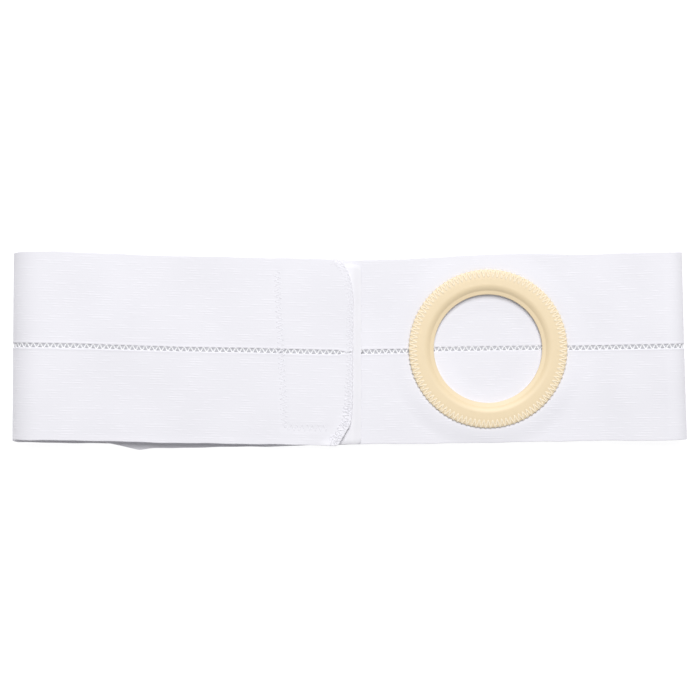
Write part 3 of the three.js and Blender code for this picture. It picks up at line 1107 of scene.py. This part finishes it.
# A thread of the overlock: its thickness in stitch threads, how flat it is, how far its stitches arch, how
# much is added to both where it is worn, and how deep it lies in the elastic's face
Lay = namedtuple("Lay", "size flat worn_flat arch worn_arch sink")
CORD = Lay(1.5, 0.9, 0, 0.3, 0, 0.75)
NEEDLE = Lay(1.0, 0.6, 0, 0.15, 0.3, 0.35)
LOOPS = Lay(0.75, 0.35, 0.3, 0.05, 0.15, 0.08)


def outer_outline(step):
    """Spots a step apart round the outline of the outer end: distances, places and directions in from it."""
    turned = OUTER_CORNER.along * (1 - np.sin(np.linspace(0, math.pi / 2, OUTLINE_POINTS)))
    before = OUTER_CORNER.along + np.arange(OVERLOCK_START, 0, -1)
    along = BELT_LENGTH - np.concatenate((before, turned))
    lower = np.column_stack((along, -edge(along, False)))
    upper = np.column_stack((along, edge(along, True)))[::-1]
    outline = np.concatenate((lower, upper))
    run = run_along(outline)
    stops = np.arange(WAY_REACH, run[-1] - WAY_REACH, step)

    def at(distance):
        return np.column_stack([np.interp(distance, run, outline[:, k]) for k in range(2)])

    way = at(stops + WAY_REACH) - at(stops - WAY_REACH)
    way /= np.linalg.norm(way, axis=1, keepdims=True)
    return stops, at(stops), np.column_stack((-way[:, 1], way[:, 0]))


def add_overlock(skin, stitch, thread):
    """Adds the overlock's three threads: a cord over the edge, a row of needle stitches and loops between."""
    stops, spot, into = outer_outline(stitch / OVERLOCK_SAMPLES)
    turns = stops / stitch
    loose = sum(row.out * np.sin(turns * row.rate + row.start) for row in LOOSENESS)
    worn = ease(-spot[:, 1], *WORN)

    def lay(row, inset, arched):
        along, across = (spot + inset[:, None] * into).T
        above = (row.arch + row.worn_arch * worn) * arched - row.sink
        out = sewn_down(along, across, HALF + above) + relief(along, across)
        flat = (row.flat + row.worn_flat * worn)[:, None]
        add_thread(skin, belt_place(along, across, out), belt_out(along), row.size * thread * MM, flat)

    bead = np.abs(np.sin(math.pi * turns))
    width = OVERLOCK_WIDTH + WORN_WIDTH * worn + loose
    loop = 0.5 + 0.5 * swing(turns + LOOP_SLIP * worn * np.sin(SLIP_RATE * turns))
    lay(CORD, CORD_IN + CORD_LOOSE * loose, bead)
    lay(NEEDLE, width, bead)
    lay(LOOPS, BINDING_IN + (width - BINDING_IN) * loop, np.sin(math.pi * loop))


class BELT_OT_overlock(bpy.types.Operator):
    """Makes the overlock stitches round the outer end"""

    bl_idname = "belt.overlock"
    bl_label = "Overlocked end"

    def execute(self, context):
        sizes = context.scene.belt_sizes
        material = bpy.data.materials["spun_polyester_matched"]
        skin = Skin()
        add_overlock(skin, sizes.overlock_stitch / MM, sizes.overlock_thread / MM)
        skin.piece("outer_end_overlock", material, "seam_thread")
        return {"FINISHED"}


# Sizes and places of the studio in metres, apart from the sensor's width
FLOOR_REACH = 30.0
KEY_PLACE = (0.1, 1.17, 2.05)
KEY_SIZE = (1.0, 1.7)
SENSOR_MM = 36.0


class BELT_OT_stage(bpy.types.Operator):
    """Makes the light table, the soft light and the camera straight above the belt"""

    bl_idname = "belt.stage"
    bl_label = "Stage"

    def execute(self, context):
        scene = context.scene
        looks, studio = scene.belt_looks, scene.belt_studio
        mesh = bpy.data.meshes.new("light_table_top")
        corners = [(x * FLOOR_REACH, y * FLOOR_REACH, 0) for x, y in ((-1, -1), (1, -1), (1, 1), (-1, 1))]
        mesh.from_pydata(corners, [], [(0, 1, 2, 3)])
        mesh.materials.append(light_table(looks))
        floor = bpy.data.objects.new("light_table_top", mesh)
        scene.collection.objects.link(floor)

        world = bpy.data.worlds.new("white_studio")
        world.use_nodes = True
        walls = world.node_tree.nodes["Background"].inputs
        walls["Color"].default_value = (1.0, 1.0, 1.0, 1.0)
        walls["Strength"].default_value = studio.ambient
        scene.world = world

        light = bpy.data.lights.new("key_softbox", "AREA")
        light.shape = "RECTANGLE"
        light.size, light.size_y = KEY_SIZE
        light.energy = studio.key
        key = bpy.data.objects.new("key_softbox", light)
        key.location = KEY_PLACE
        key.rotation_euler = (-key.location).to_track_quat("-Z", "Y").to_euler()
        scene.collection.objects.link(key)

        lens = bpy.data.cameras.new("camera")
        lens.lens = studio.lens
        lens.sensor_width = SENSOR_MM
        camera = bpy.data.objects.new("camera", lens)
        camera.location = (SHIFT[0], SHIFT[1], studio.camera_height)
        scene.collection.objects.link(camera)
        scene.camera = camera
        scene.view_settings.view_transform = "Standard"
        return {"FINISHED"}


class BELT_PT_sidebar(bpy.types.Panel):
    """Lists the belt's pieces and their sizes and colours"""

    bl_idname = "BELT_PT_sidebar"
    bl_label = "Support belt"
    bl_space_type = "VIEW_3D"
    bl_region_type = "UI"
    bl_category = "Belt"

    def draw(self, context):
        for operator in OPERATORS:
            self.layout.operator(operator.bl_idname)
        for group in (context.scene.belt_sizes, context.scene.belt_looks, context.scene.belt_studio):
            box = self.layout.box()
            for name in group.bl_rna.properties.keys():
                if name not in {"rna_type", "name"}:
                    box.prop(group, name)


GROUPS = (BeltSizes, BeltLooks, BeltStudio)
OPERATORS = (
    BELT_OT_elastic,
    BELT_OT_open_seam,
    BELT_OT_ring,
    BELT_OT_ring_stitches,
    BELT_OT_hook_tape,
    BELT_OT_tape_stitches,
    BELT_OT_overlock,
    BELT_OT_stage,
)
CLASSES = (*GROUPS, *OPERATORS, BELT_PT_sidebar)


def register():
    for cls in CLASSES:
        bpy.utils.register_class(cls)
    bpy.types.Scene.belt_sizes = bpy.props.PointerProperty(type=BeltSizes)
    bpy.types.Scene.belt_looks = bpy.props.PointerProperty(type=BeltLooks)
    bpy.types.Scene.belt_studio = bpy.props.PointerProperty(type=BeltStudio)


def unregister():
    del bpy.types.Scene.belt_sizes, bpy.types.Scene.belt_looks, bpy.types.Scene.belt_studio
    for cls in reversed(CLASSES):
        bpy.utils.unregister_class(cls)


def main():
    register()
    bpy.ops.belt.elastic()
    bpy.ops.belt.open_seam()
    bpy.ops.belt.ring()
    bpy.ops.belt.ring_stitches()
    bpy.ops.belt.hook_tape()
    bpy.ops.belt.tape_stitches()
    bpy.ops.belt.overlock()
    bpy.ops.belt.stage()


if __name__ == "__main__":
    main()
